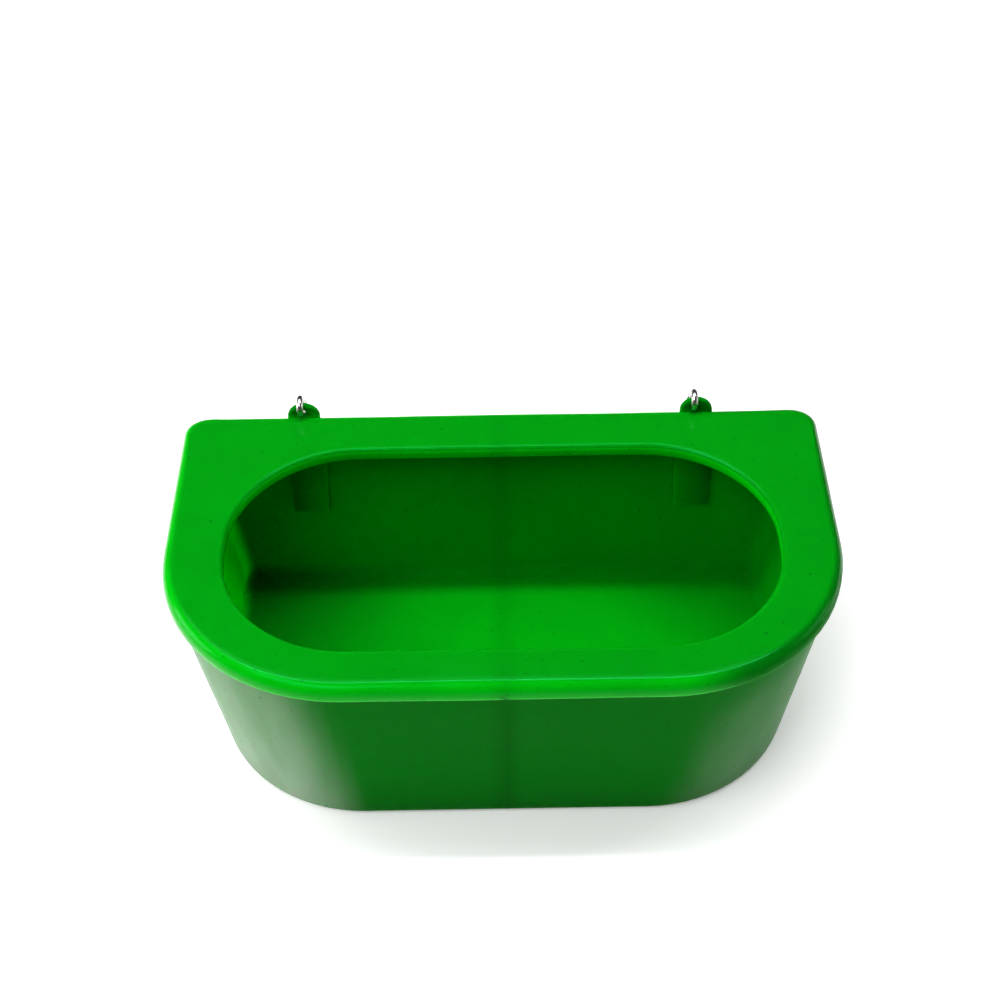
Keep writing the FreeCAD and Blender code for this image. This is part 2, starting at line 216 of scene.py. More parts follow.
class NodeSheet:
    """Short way to write a material's nodes and links."""

    def __init__(self, name: str) -> None:
        """Start a material that holds only its shader and output.

        Args:
            name: Name of the material.
        """
        self.material = bpy.data.materials.new(name)
        self.material.use_nodes = True
        self.tree = self.material.node_tree
        self.shader = self.tree.nodes["Principled BSDF"]
        self.place = self.add("ShaderNodeTexCoord").outputs["Object"]

    def add(self, kind: str, **settings: object) -> bpy.types.ShaderNode:
        """Add a node and set its properties or input values.

        Args:
            kind: Blender's node type.
            **settings: A property's name, or an input's name with spaces as underscores.

        Returns:
            The new node.
        """
        node = self.tree.nodes.new(kind)
        for name, value in settings.items():
            socket = node.inputs.get(name.replace("_", " "))
            if socket is not None:
                socket.default_value = value
            else:
                setattr(node, name, value)
        return node

    def link(self, source: bpy.types.NodeSocket, target: bpy.types.NodeSocket) -> None:
        """Join an output to an input."""
        self.tree.links.new(source, target)

    def stretched(self, scale: Point) -> bpy.types.NodeSocket:
        """Object coordinates, scaled unevenly.

        Args:
            scale: Factor along X, Y and Z.

        Returns:
            The scaled place.
        """
        mapping = self.add("ShaderNodeMapping", Scale=scale)
        self.link(self.place, mapping.inputs["Vector"])
        return mapping.outputs["Vector"]

    def noise(self, scale: float, detail: float = 3.0, place: bpy.types.NodeSocket | None = None,
              roughness: float = 0.5) -> bpy.types.NodeSocket:
        """Cloudy pattern from 0 to 1.

        Args:
            scale: Number of clouds in a metre.
            detail: How many finer layers the pattern has.
            place: Coordinates to read; the object's own by default.
            roughness: Strength of the finer layers.

        Returns:
            The pattern's value.
        """
        node = self.add("ShaderNodeTexNoise", Scale=scale, Detail=detail, Roughness=roughness)
        self.link(place or self.place, node.inputs["Vector"])
        return node.outputs["Fac"]

    def remap(self, value: bpy.types.NodeSocket, low: float, high: float, to_low: float = 0.0,
              to_high: float = 1.0) -> bpy.types.NodeSocket:
        """Turn a range of a value into another, without going past its ends.

        Args:
            value: The value to change.
            low: Value that gives to_low.
            high: Value that gives to_high.
            to_low: Result at low.
            to_high: Result at high.

        Returns:
            The changed value.
        """
        node = self.add("ShaderNodeMapRange", From_Min=low, From_Max=high, To_Min=to_low, To_Max=to_high)
        self.link(value, node.inputs["Value"])
        return node.outputs["Result"]

    def times(self, first: bpy.types.NodeSocket, second: bpy.types.NodeSocket) -> bpy.types.NodeSocket:
        """Multiply two values."""
        node = self.add("ShaderNodeMath", operation="MULTIPLY")
        self.link(first, node.inputs[0])
        self.link(second, node.inputs[1])
        return node.outputs[0]

    def distance_from_middle(self) -> bpy.types.NodeSocket:
        """Distance from the plane x = 0, in metres."""
        parts = self.add("ShaderNodeSeparateXYZ")
        self.link(self.place, parts.inputs[0])
        node = self.add("ShaderNodeMath", operation="ABSOLUTE")
        self.link(parts.outputs["X"], node.inputs[0])
        return node.outputs[0]

    def measured(self, name: str) -> bpy.types.NodeSocket:
        """Value that the mesh stores for each of its vertices under a name."""
        node = self.add("ShaderNodeAttribute", attribute_name=name)
        return node.outputs["Fac"]

    def mix(self, share: bpy.types.NodeSocket, first: object, second: object) -> bpy.types.NodeSocket:
        """Mix two colours.

        Args:
            share: How much of the second colour shows.
            first: A colour or an output.
            second: A colour or an output.

        Returns:
            The mixed colour.
        """
        node = self.add("ShaderNodeMix", data_type="RGBA")
        self.link(share, node.inputs[0])
        for index, colour in ((6, first), (7, second)):
            if isinstance(colour, bpy.types.NodeSocket):
                self.link(colour, node.inputs[index])
            else:
                node.inputs[index].default_value = colour
        return node.outputs[2]

    def bumps(self, layers: Sequence[tuple[bpy.types.NodeSocket, float]]) -> None:
        """Stack height patterns on the shader's normal.

        Args:
            layers: Each pattern with its height in metres.
        """
        normal = None
        for height, distance in layers:
            node = self.add("ShaderNodeBump", Strength=1.0, Distance=distance)
            self.link(height, node.inputs["Height"])
            if normal is not None:
                self.link(normal, node.inputs["Normal"])
            normal = node.outputs["Normal"]
        self.link(normal, self.shader.inputs["Normal"])


@dataclass(frozen=True)
class MouldedPolyethylene:
    """Semi-gloss green plastic with soft mottling and fine scuffs, painted lighter where lit and darker where
    shaded, with a painted whitish sheen and some dust on the front corners.
    """

    name: str = "moulded_polyethylene"
    # Painted light and shade: the darker green is painted where faces turn from the light (outer walls,
    # ears), the brighter green where light falls (inside, rim, band, lip).
    shaded_green: Colour = (0.0003, 0.122, 0.0028, 1.0)
    lit_green: Colour = (0.0004, 0.750, 0.0025, 1.0)
    seam: Colour = (0.0002, 0.070, 0.0010, 1.0)
    mottle: float = 0.16
    mottle_scale: float = 14.0
    streak_scale: Point = (30.0, 30.0, 9.0)
    sheen_chalk: Colour = (0.50, 0.58, 0.48, 1.0)
    speck: Colour = (0.0, 0.07, 0.003, 1.0)
    speck_scale: float = 230.0
    shine: Colour = (0.03, 1.0, 0.34, 1.0)
    wall_shine: float = 0.010
    rim_shine: float = 0.15
    wall_roughness: float = 0.30
    rim_roughness: float = 0.15
    wave_scale: float = 11.0
    wave_height: float = 0.0018
    peel_scale: float = 420.0
    peel_height: float = 0.00005
    seam_share: float = 0.45

    def make(self) -> bpy.types.Material:
        """Build the material.

        Returns:
            The finished material.
        """
        sheet = NodeSheet(self.name)
        shader = sheet.shader
        # Painted light and shade: the stored per-vertex share mixes the painted shaded green towards the
        # painted lit green.
        painted_light = sheet.measured("painted_light")
        body = sheet.mix(painted_light, self.shaded_green, self.lit_green)
        mottle = sheet.remap(sheet.noise(self.mottle_scale, 4), 0.35, 0.68, 0.0, self.mottle)
        body = sheet.mix(mottle, body, self.shaded_green)
        # The dark seam shows most where painted light is lowest, on the outer wall.
        seam = sheet.remap(sheet.distance_from_middle(), 0.002, 0.014, self.seam_share, 0.0)
        seam_on_shade = sheet.remap(painted_light, 0.0, 0.11, 1.0, 0.3)
        body = sheet.mix(sheet.times(seam, seam_on_shade), body, self.seam)
        streaks = sheet.noise(1.0, 2, sheet.stretched(self.streak_scale))
        patchy = sheet.remap(streaks, 0.25, 0.75, 0.6, 1.0)
        # Painted sheen: the whitish colour on the front corners stands in for a reflection, with some dust.
        coloured = sheet.mix(sheet.times(sheet.measured("dust_and_sheen"), patchy), body, self.sheen_chalk)
        specks = sheet.remap(sheet.noise(self.speck_scale, 1), 0.745, 0.775, 0.0, 0.6)
        coloured = sheet.mix(specks, coloured, self.speck)
        sheet.link(coloured, shader.inputs["Base Color"])
        polish = sheet.measured("polish")
        rough = sheet.remap(polish, 0.0, 1.0, self.wall_roughness, self.rim_roughness)
        uneven = sheet.remap(streaks, 0.3, 0.75, 0.95, 1.2)
        sheet.link(sheet.times(rough, uneven), shader.inputs["Roughness"])
        shader.inputs["IOR"].default_value = 1.5
        level = sheet.remap(polish, 0.0, 1.0, self.wall_shine, self.rim_shine)
        sheet.link(level, shader.inputs["Specular IOR Level"])
        shader.inputs["Specular Tint"].default_value = self.shine
        shader.inputs["Subsurface Weight"].default_value = 0.8
        shader.inputs["Subsurface Radius"].default_value = (0.001, 0.012, 0.002)
        shader.inputs["Subsurface Scale"].default_value = 1.0
        waves = sheet.noise(self.wave_scale, 2)
        peel = sheet.noise(self.peel_scale, 3)
        sheet.bumps([(waves, self.wave_height), (peel, self.peel_height)])
        return sheet.material


@dataclass(frozen=True)
class PlatedSteel:
    """Zinc-plated or plain steel with fine scratches and uneven shine."""

    name: str
    bright: Colour = (0.62, 0.61, 0.59, 1.0)
    dull: Colour = (0.30, 0.29, 0.28, 1.0)
    roughness: float = 0.17
    smoother: float = 0.05
    rougher: float = 0.08
    patch_scale: float = 160.0
    smear_scale: float = 300.0
    dent_scale: float = 210.0
    dent_height: float = 0.00012
    grain: float = 900.0
    grain_height: float = 0.00002

    def make(self) -> bpy.types.Material:
        """Build the material.

        Returns:
            The finished material.
        """
        sheet = NodeSheet(self.name)
        shader = sheet.shader
        shader.inputs["Metallic"].default_value = 1.0
        patches = sheet.remap(sheet.noise(self.patch_scale, 5), 0.38, 0.66)
        sheet.link(sheet.mix(patches, self.bright, self.dull), shader.inputs["Base Color"])
        smears = sheet.noise(self.smear_scale, 4)
        smooth_end, rough_end = self.roughness - self.smoother, self.roughness + self.rougher
        rough = sheet.remap(smears, 0.3, 0.7, smooth_end, rough_end)
        sheet.link(rough, shader.inputs["Roughness"])
        scratches = sheet.noise(1.0, 2, sheet.stretched((self.grain, self.grain, self.grain / 9)), 0.6)
        dents = sheet.noise(self.dent_scale, 2)
        sheet.bumps([(dents, self.dent_height), (scratches, self.grain_height)])
        return sheet.material


@dataclass(frozen=True)
class StudioFloor:
    """Plain pale floor that is lit a little by itself further out, like a backdrop."""

    name: str = "studio_floor"
    colour: Colour = (0.90, 0.90, 0.90, 1.0)
    near_glow: float = 0.26
    far_glow: float = 0.9
    near: float = 0.45
    far: float = 2.2

    def make(self) -> bpy.types.Material:
        """Build the material.

        Returns:
            The finished material.
        """
        sheet = NodeSheet(self.name)
        sheet.shader.inputs["Base Color"].default_value = self.colour
        sheet.shader.inputs["Roughness"].default_value = 0.95
        sheet.shader.inputs["Specular IOR Level"].default_value = 0.1
        distance = sheet.add("ShaderNodeVectorMath", operation="LENGTH")
        sheet.link(sheet.place, distance.inputs[0])
        glow = sheet.remap(distance.outputs["Value"], self.near, self.far, self.near_glow, self.far_glow)
        sheet.shader.inputs["Emission Color"].default_value = (1.0, 1.0, 1.0, 1.0)
        sheet.link(glow, sheet.shader.inputs["Emission Strength"])
        return sheet.material


# ---- the moulded trough -----------------------------------------------------------------


def ease(share: float) -> float:
    """Smooth step from 0 to 1, for a share that may go past either end."""
    held = min(1.0, max(0.0, share))
    return held * held * (3 - 2 * held)


@dataclass(frozen=True)
class Outline:
    """D-plan outline: two corners at the back and two at the front, with their radii."""

    half_width: float
    back: float
    front: float
    back_radius: float
    front_radius: float

    def inset(self, amount: float) -> "Outline":
        """Outline moved inwards all round.

        Args:
            amount: How far, in metres; negative moves it outwards.

        Returns:
            The moved outline.
        """
        return Outline(
            self.half_width - amount, self.back - amount, self.front + amount,
            self.back_radius - amount, self.front_radius - amount,
        )

    def ring(self, name: str, height: float, segments: "RingSegments") -> bpy.types.Object:
        """Closed loop of edges on the outline, in a vertex group of the same name.

        Args:
            name: Name of the ring and of its vertex group.
            height: Level of the ring.
            segments: How finely each stretch is divided.

        Returns:
            The ring as a mesh of edges.
        """
        deselect_all()
        bpy.ops.mesh.primitive_plane_add(size=1.0, location=(0.0, 0.0, 0.0))
        ring = bpy.context.object
        ring.name = name
        middle = (self.back + self.front) / 2
        bpy.ops.object.mode_set(mode="EDIT")
        bpy.ops.transform.resize(value=(2 * self.half_width, self.back - self.front, 1.0))
        bpy.ops.transform.translate(value=(0.0, middle, height))
        for radius, at_back in ((self.back_radius, True), (self.front_radius, False)):
            pick(ring, PickMode.VERTEX, lambda place: (place.y > middle) == at_back)
            bpy.ops.mesh.bevel(
                offset=radius, segments=segments.corner, affect="VERTICES", clamp_overlap=False
            )
        bpy.ops.mesh.select_all(action="SELECT")
        bpy.ops.mesh.delete(type="ONLY_FACE")
        for axis, pieces in ((1, segments.long), (0, segments.short)):
            bpy.ops.object.mode_set(mode="OBJECT")
            mesh = ring.data
            for part in (mesh.vertices, mesh.edges):
                part.foreach_set("select", [False] * len(part))
            for edge in mesh.edges:
                first, last = (mesh.vertices[index].co for index in edge.vertices)
                edge.select = abs(first[axis] - last[axis]) < TINY and (last - first).length > segments.least
            bpy.context.tool_settings.mesh_select_mode = PickMode.EDGE.value
            bpy.ops.object.mode_set(mode="EDIT")
            bpy.ops.mesh.subdivide(number_cuts=pieces - 1)
        bpy.ops.object.mode_set(mode="OBJECT")
        group = ring.vertex_groups.new(name=name)
        group.add(range(len(ring.data.vertices)), 1.0, "REPLACE")
        return ring


@dataclass(frozen=True)
class RingSegments:
    """How finely the stretches of every ring are divided; long is even, for a seam at x = 0."""

    corner: int = 18
    long: int = 44
    short: int = 14
    least: float = 0.003


@dataclass(frozen=True)
class Station:
    """One ring of the trough's skin."""

    name: str
    outline: Outline
    height: float


@dataclass
class TroughMoulding:
    """The moulded trough: tapered wall, floor, rim with a turned-down lip, lugs and ears."""

    rim_top: float = 0.184
    overhang: float = 0.0048
    band: float = 0.016
    wall: float = 0.0045
    base_half_width: float = 0.238
    base_front_inset: float = 0.024
    base_back_inset: float = 0.012
    base_corner: float = 0.018
    base_front_radius: float = 0.124
    back_radius: float = 0.018
    front_radius: float = 0.149
    opening: Outline = Outline(0.2215, 0.107, -0.1155, 0.104, 0.104)
    lip_drop: float = 0.0115
    base_round: float = 0.0060
    floor_round: float = 0.0105
    band_foot_round: float = 0.0022
    rim_round: float = 0.0100
    opening_round: float = 0.0045
    lip_round: float = 0.0016
    ear_spacing: float = 0.336
    ear_radius: float = 0.014
    ear_centre_drop: float = 0.002
    ear_hole_shift: float = -0.0016
    ear_thickness: float = 0.0055
    ear_foot_drop: float = 0.010
    ear_proud: float = 0.00075
    ear_bar: float = 0.0042
    ear_hole: float = 0.00395
    ear_round: float = 0.0018
    hole_round: float = 0.0006
    lug_top_width: float = 0.038
    lug_foot_width: float = 0.030
    lug_top_drop: float = 0.005
    lug_drop: float = 0.100
    lug_round: float = 0.0040
    pocket_depth: float = 0.0042
    seam_height: float = 0.0003
    seam_half_width: float = 0.0009
    waviness: float = 0.0011
    wave_size: float = 0.11
    still_foot: float = 0.02
    sharp_angle: float = 38.0
    # Painted sheen with some dust on the front corners: start angle and strength per side, stronger on the
    # left, where the light comes from.
    dust_and_sheen: dict[Side, tuple[float, float]] = field(
        default_factory=lambda: {Side.LEFT: (-7.0, 0.53), Side.RIGHT: (-1.0, 0.16)}
    )
    sheen_rise: float = 26.0
    sheen_slant: float = 12.0
    sheen_end: float = 80.0
    sheen_fade: float = 50.0
    sheen_rim_shade: float = 0.34
    sheen_top: float = 0.55
    # Painted light: share of the lit green on the ears, rim, band, lip and inside; the outer wall gets none
    # and is painted in shade.
    ear_painted_light: float = 0.02
    rim_painted_light: float = 0.13
    band_painted_light: float = 0.34
    lip_painted_light: float = 0.50
    inner_painted_light: float = 0.25
    # Painted shade on the inside floor, darker towards its left and right ends.
    floor_shade: float = 0.65
    floor_reach: float = 0.030
    left_shade_reach: float = 0.24
    right_shade: float = 0.4
    right_shade_reach: float = 0.16
    end_wall_fade: float = 0.012
    # Painted shade: where the band's painted light and gloss fade out round the right of the front.
    band_shade_start: float = 0.13
    band_shade_fade: float = 0.06
    turned_down: float = 0.12
    ear_margin: float = 0.0015
    rim_margin: float = 0.003
    edge_margin: float = 0.001
    segments: RingSegments = field(default_factory=RingSegments)

    def __post_init__(self) -> None:
        """Read the outer sizes from the CAD node."""
        low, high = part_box("trough_shell")
        self.half_width = high.x
        self.half_depth = -low.y
        self.ear_top = self.rim_top - self.ear_centre_drop + self.ear_radius
        self.band_bottom = self.rim_top - self.band

    def stations(self) -> list[Station]:
        """Rings of the skin, from the floor outside, over the rim, to the floor inside."""
        rim = Outline(self.half_width, self.half_depth, -self.half_depth, self.back_radius, self.front_radius)
        base = Outline(
            self.base_half_width, self.half_depth - self.base_back_inset,
            self.base_front_inset - self.half_depth, self.base_corner, self.base_front_radius,
        )
        top = self.rim_top
        return [
            Station("base_outside", base, 0.0),
            Station("wall_top_outside", rim.inset(self.overhang), self.band_bottom),
            Station("band_foot", rim, self.band_bottom),
            Station("rim_edge", rim, top),
            Station("opening_edge", self.opening, top),
            Station("lip_inside", self.opening, top - self.lip_drop),
            Station("lip_outside", self.opening.inset(-self.wall), top - self.lip_drop),
            Station("lip_root", self.opening.inset(-self.wall), top - self.wall),
            Station("rim_hollow_top", rim.inset(self.wall), top - self.wall),
            Station("rim_hollow_foot", rim.inset(self.wall), self.band_bottom + self.wall),
            Station("wall_top_inside", rim.inset(self.overhang + self.wall), self.band_bottom + self.wall),
            Station("base_inside", base.inset(self.wall), self.wall),
        ]

    def skin(self) -> bpy.types.Object:
        """Closed skin of the trough with sharp edges, before lugs and ears.

        Returns:
            The skin as one mesh.
        """
        stations = self.stations()
        rings = [station.outline.ring(station.name, station.height, self.segments) for station in stations]
        deselect_all()
        for ring in rings:
            ring.select_set(True)
        skin = rings[0]
        bpy.context.view_layer.objects.active = skin
        bpy.ops.object.join()
        skin.name = "trough"
        rows = {
            ("base_outside", "wall_top_outside"): 12,
            ("rim_edge", "opening_edge"): 2,
            ("lip_root", "rim_hollow_top"): 2,
            ("wall_top_inside", "base_inside"): 12,
        }
        pairs = [(first.name, second.name) for first, second in zip(stations, stations[1:])]
        # The level pairs come first: once a ring has faces, a level bridge to it can twist.
        for pair in pairs[1::2] + pairs[0::2]:
            self.bridge(skin, pair, rows.get(pair, 0))
        for name, height in (("base_outside", 0.0), ("base_inside", self.wall)):
            self.close_floor(skin, height)
        skin.vertex_groups.clear()
        face_outwards(skin)
        return skin

    @staticmethod
    def bridge(skin: bpy.types.Object, names: tuple[str, str], rows: int) -> None:
        """Bridge two rings of the skin with faces.

        Args:
            skin: The mesh that holds the rings.
            names: The rings' vertex groups.
            rows: Number of loops cut between them.
        """
        make_active(skin)
        bpy.context.tool_settings.mesh_select_mode = PickMode.VERTEX.value
        bpy.ops.object.mode_set(mode="EDIT")
        bpy.ops.mesh.select_all(action="DESELECT")
        for name in names:
            skin.vertex_groups.active_index = skin.vertex_groups[name].index
            bpy.ops.object.vertex_group_select()
        bpy.context.tool_settings.mesh_select_mode = PickMode.EDGE.value
        bpy.ops.mesh.bridge_edge_loops(number_cuts=rows, interpolation="LINEAR")
        bpy.ops.object.mode_set(mode="OBJECT")
        bpy.ops.object.vertex_group_clean(group_select_mode="ALL", limit=0.999)

    def close_floor(self, skin: bpy.types.Object, height: float) -> None:
        """Close the base at a height with rings that shrink to its middle.

        Args:
            skin: The mesh whose lowest loop is open.
            height: Level of the floor.
        """
        middle = (0.0, (self.base_front_inset - self.base_back_inset) / 2, height)
        pick(skin, PickMode.EDGE, lambda place: abs(place.z - height) < TINY)
        scale = 1.0
        for share in (0.88, 0.74, 0.56, 0.37, 0.18):
            bpy.ops.mesh.extrude_region_move()
            factor = share / scale
            bpy.ops.transform.resize(value=(factor, factor, 1.0), center_override=middle)
            scale = share
        bpy.ops.mesh.extrude_region_move()
        bpy.ops.mesh.merge(type="CENTER")
        bpy.ops.object.mode_set(mode="OBJECT")

    def raise_seam(self, skin: bpy.types.Object) -> None:
        """Raise the thin seam that the mould leaves down the middle of the front wall.

        Args:
            skin: The trough's skin.
        """
        def on_seam(place: Vector) -> bool:
            """Say whether a place is on the middle line of the front wall."""
            in_front = place.y < self.opening.front - self.wall
            return abs(place.x) < TINY and in_front and place.z < self.band_bottom

        pick(skin, PickMode.EDGE, lambda place: on_seam(place) and place.z > TINY)
        bpy.ops.mesh.bevel(offset=self.seam_half_width, segments=2, affect="EDGES")
        pick(skin, PickMode.VERTEX, lambda place: on_seam(place) and place.z > self.wall)
        bpy.ops.transform.translate(value=(0.0, -self.seam_height, 0.0))
        bpy.ops.object.mode_set(mode="OBJECT")

    def round_edges(self, skin: bpy.types.Object) -> None:
        """Round every edge of the skin, each with its own radius.

        Args:
            skin: The trough's skin.
        """
        top = self.rim_top
        in_opening = self.opening.inset(-0.6 * self.wall)
        opening_reach = in_opening.half_width

        def at(height: float, outside: bool | None = None) -> Callable[[Vector], bool]:
            """Test for a level, on the rim's outside or round the opening, or both."""
            def test(place: Vector) -> bool:
                """Say whether a place is on the level."""
                if abs(place.z - height) > NEAR:
                    return False
                if outside is None:
                    return True
                inside = abs(place.x) < opening_reach and in_opening.front < place.y < in_opening.back
                return inside != outside
            return test

        round_sharp_edges(skin, self.base_round, 6, at(0.0))
        round_sharp_edges(skin, self.floor_round, 7, at(self.wall))
        round_sharp_edges(skin, self.band_foot_round, 4, at(self.band_bottom))
        round_sharp_edges(skin, self.rim_round, 9, at(top, True))
        round_sharp_edges(skin, self.opening_round, 7, at(top, False))
        round_sharp_edges(skin, self.lip_round, 4, at(top - self.lip_drop))

    def warp(self, skin: bpy.types.Object) -> None:
        """Give the walls and the rim the slight waves of a thin moulding.

        Args:
            skin: The trough's skin.
        """
        clouds = bpy.data.textures.new("moulding_waves", "CLOUDS")
        clouds.noise_scale = self.wave_size
        clouds.noise_depth = 1
        group = skin.vertex_groups.new(name="warped")
        above = [vertex.index for vertex in skin.data.vertices if vertex.co.z > self.still_foot]
        group.add(above, 1.0, "REPLACE")
        apply_modifier(
            skin, "DISPLACE", texture=clouds, strength=self.waviness, mid_level=0.5,
            texture_coords="LOCAL", vertex_group=group.name,
        )
        skin.vertex_groups.clear()

    def hollow_lug(self, skin: bpy.types.Object, side: Side) -> None:
        """Press the soft hollow of a lug into the inside of the back wall.

        Args:
            skin: The trough's skin, with its sharp edges.
            side: Which ear the lug is under.
        """
        centre = side.sign * self.ear_spacing / 2
        inner_back = self.half_depth - self.base_back_inset - self.wall
        inner_top = self.half_depth - self.overhang - self.wall

        def near_lug(place: Vector, reach: float, lowest: float) -> bool:
            """Say whether a place is on the wall's inner face, near the lug's middle line."""
            on_inside = inner_back - self.edge_margin < place.y < inner_top + NEAR
            below_band = lowest < place.z < self.band_bottom + self.wall
            return on_inside and below_band and abs(place.x - centre) < reach

        foot = self.rim_top - self.lug_drop
        pick(skin, PickMode.FACE, lambda place: near_lug(place, self.lug_top_width, foot))
        bpy.ops.mesh.subdivide(number_cuts=4)
        pocket = self.lug_foot_width / 2 - self.wall
        pick(skin, PickMode.VERTEX, lambda place: near_lug(place, pocket, self.rim_top - 0.6 * self.lug_drop))
        bpy.ops.transform.translate(
            value=(0.0, self.pocket_depth, 0.0), use_proportional_edit=True,
            use_proportional_connected=True, proportional_edit_falloff="SMOOTH",
            proportional_size=2 * self.wall,
        )
        bpy.ops.object.mode_set(mode="OBJECT")

    def lug(self, side: Side) -> bpy.types.Object:
        """Tapered block of a lug on the outside of the back wall.

        Args:
            side: Which ear the lug is under.

        Returns:
            The block as a closed mesh with rounded upright edges.
        """
        centre = side.sign * self.ear_spacing / 2
        back = self.half_depth + self.ear_proud
        foot, top = self.rim_top - self.lug_drop, self.rim_top - self.lug_top_drop
        depth = 0.5 * self.wall + self.base_back_inset - self.overhang
        deselect_all()
        bpy.ops.mesh.primitive_cube_add(size=1.0, location=(0.0, 0.0, 0.0))
        block = bpy.context.object
        bpy.ops.object.mode_set(mode="EDIT")
        bpy.ops.transform.resize(value=(self.lug_top_width, depth, top - foot))
        bpy.ops.transform.translate(value=(centre, back - depth / 2, (top + foot) / 2))
        bpy.ops.object.mode_set(mode="OBJECT")
        pick(block, PickMode.VERTEX, lambda place: place.z < foot + TINY)
        narrow = self.lug_foot_width / self.lug_top_width
        bpy.ops.transform.resize(value=(narrow, 1.0, 1.0), center_override=(centre, back, foot))
        wall_back = self.back_wall(foot)
        bpy.ops.transform.translate(value=(0.0, wall_back - self.half_depth - self.ear_proud, 0.0))
        bpy.ops.object.mode_set(mode="OBJECT")
        round_sharp_edges(block, self.lug_round, 5, lambda place: place.y > wall_back - depth / 2)
        return block

    def ear(self, side: Side) -> bpy.types.Object:
        """Ear plate with a rounded edge and its round hole.

        Args:
            side: Which ear.

        Returns:
            The ear as a closed mesh.
        """
        centre = side.sign * self.ear_spacing / 2
        arc_height = self.rim_top - self.ear_centre_drop
        middle = self.half_depth + self.ear_proud - self.ear_thickness / 2
        plate = self.cross_bar(self.ear_radius, self.ear_thickness, (centre, middle, arc_height), 96)
        pick(plate, PickMode.VERTEX, lambda place: place.z < arc_height - TINY)
        foot = self.rim_top - self.ear_foot_drop
        bpy.ops.transform.resize(value=(1.0, 1.0, 0.0), center_override=(centre, middle, foot))
        bpy.ops.mesh.dissolve_limited(angle_limit=math.radians(1))
        bpy.ops.object.mode_set(mode="OBJECT")
        round_sharp_edges(plate, self.ear_round, 5, lambda place: True)
        hole_centre, hole_height = centre + self.ear_hole_shift, self.ear_top - self.ear_bar - self.ear_hole
        drill = self.cross_bar(self.ear_hole, 4 * self.ear_thickness, (hole_centre, middle, hole_height), 64)
        boolean(plate, drill, "DIFFERENCE")
        reach = self.ear_hole + TINY * 10

        def round_hole(place: Vector) -> bool:
            """Say whether a place is on the rim of the hole."""
            return math.hypot(place.x - hole_centre, place.z - hole_height) < reach

        round_sharp_edges(plate, self.hole_round, 3, round_hole)
        return plate

    @staticmethod
    def cross_bar(radius: float, length: float, middle: Point, vertices: int) -> bpy.types.Object:
        """Round bar along Y.

        Args:
            radius: Radius of the bar.
            length: Length along Y.
            middle: Place of its middle.
            vertices: Number of sides.

        Returns:
            The bar, with its place in its mesh.
        """
        deselect_all()
        bpy.ops.mesh.primitive_cylinder_add(
            vertices=vertices, radius=radius, depth=length, rotation=(math.pi / 2, 0.0, 0.0), location=middle
        )
        bar = bpy.context.object
        bpy.ops.object.transform_apply(location=True, rotation=True, scale=True)
        return bar

    def build(self) -> bpy.types.Object:
        """Model the whole trough.

        Returns:
            The finished moulding, without a material.
        """
        trough = self.skin()
        LOG.info("skin has %d faces", len(trough.data.polygons))
        self.raise_seam(trough)
        for side in Side:
            self.hollow_lug(trough, side)
        self.round_edges(trough)
        self.warp(trough)
        for side in Side:
            boolean(trough, self.lug(side), "UNION")
            boolean(trough, self.ear(side), "UNION")
        smooth(trough, self.sharp_angle)
        return trough

    def back_wall(self, height: float) -> float:
        """Y of the back wall's outer face at a height."""
        lean = (self.base_back_inset - self.overhang) * height / self.band_bottom
        return self.half_depth - self.base_back_inset + lean

    def wall_turn(self, place: Vector, normal: Vector) -> float | None:
        """How far round a front corner a place on the outer wall is.

        Args:
            place: Place on the trough's skin.
            normal: Direction that the skin faces there.

        Returns:
            Degrees from the flat front towards the side, or None off the outer wall.
        """
        corner = Vector((
            math.copysign(self.half_width - self.front_radius, place.x),
            self.front_radius - self.half_depth, 0.0,
        ))
        out = Vector((place.x - corner.x, place.y - corner.y, 0.0))
        if place.z > self.band_bottom or out.dot(normal) <= 0.3 * out.length:
            return None
        sideways = out.x * math.copysign(1.0, place.x)
        return math.degrees(math.atan2(sideways, -out.y))

    def dust_and_sheen_at(self, place: Vector, normal: Vector) -> float:
        """Share of painted whitish sheen, with some chalky dust, at a place; the front corners have the most,
        and on the right it fades under the rim, where shade falls.

        Args:
            place: Place on the trough's skin.
            normal: Direction that the skin faces there.

        Returns:
            The share, from 0 to 1.
        """
        turn = self.wall_turn(place, normal)
        start, strength = self.dust_and_sheen[Side.LEFT if place.x < 0 else Side.RIGHT]
        if turn is None:
            return 0.0
        low = 1.0 - place.z / self.band_bottom
        turned = turn - start - self.sheen_slant * (1.0 - low)
        # Painted shade: on the right the sheen fades up towards the rim, under which shade falls.
        out_of_rim_shade = 1.0 if place.x < 0 else ease(low / self.sheen_rim_shade)
        corner_sheen = ease(turned / self.sheen_rise) * (1.0 - ease((turn - self.sheen_end) / self.sheen_fade))
        return strength * corner_sheen * (self.sheen_top + (1.0 - self.sheen_top) * low) * out_of_rim_shade

    def band_lit_and_gloss_share(self, place: Vector) -> float:
        """Share of painted light and gloss on the band at a place; it fades round the right of the front,
        where the band is painted in shade.
        """
        return 1.0 - ease((place.x - self.band_shade_start) / self.band_shade_fade)

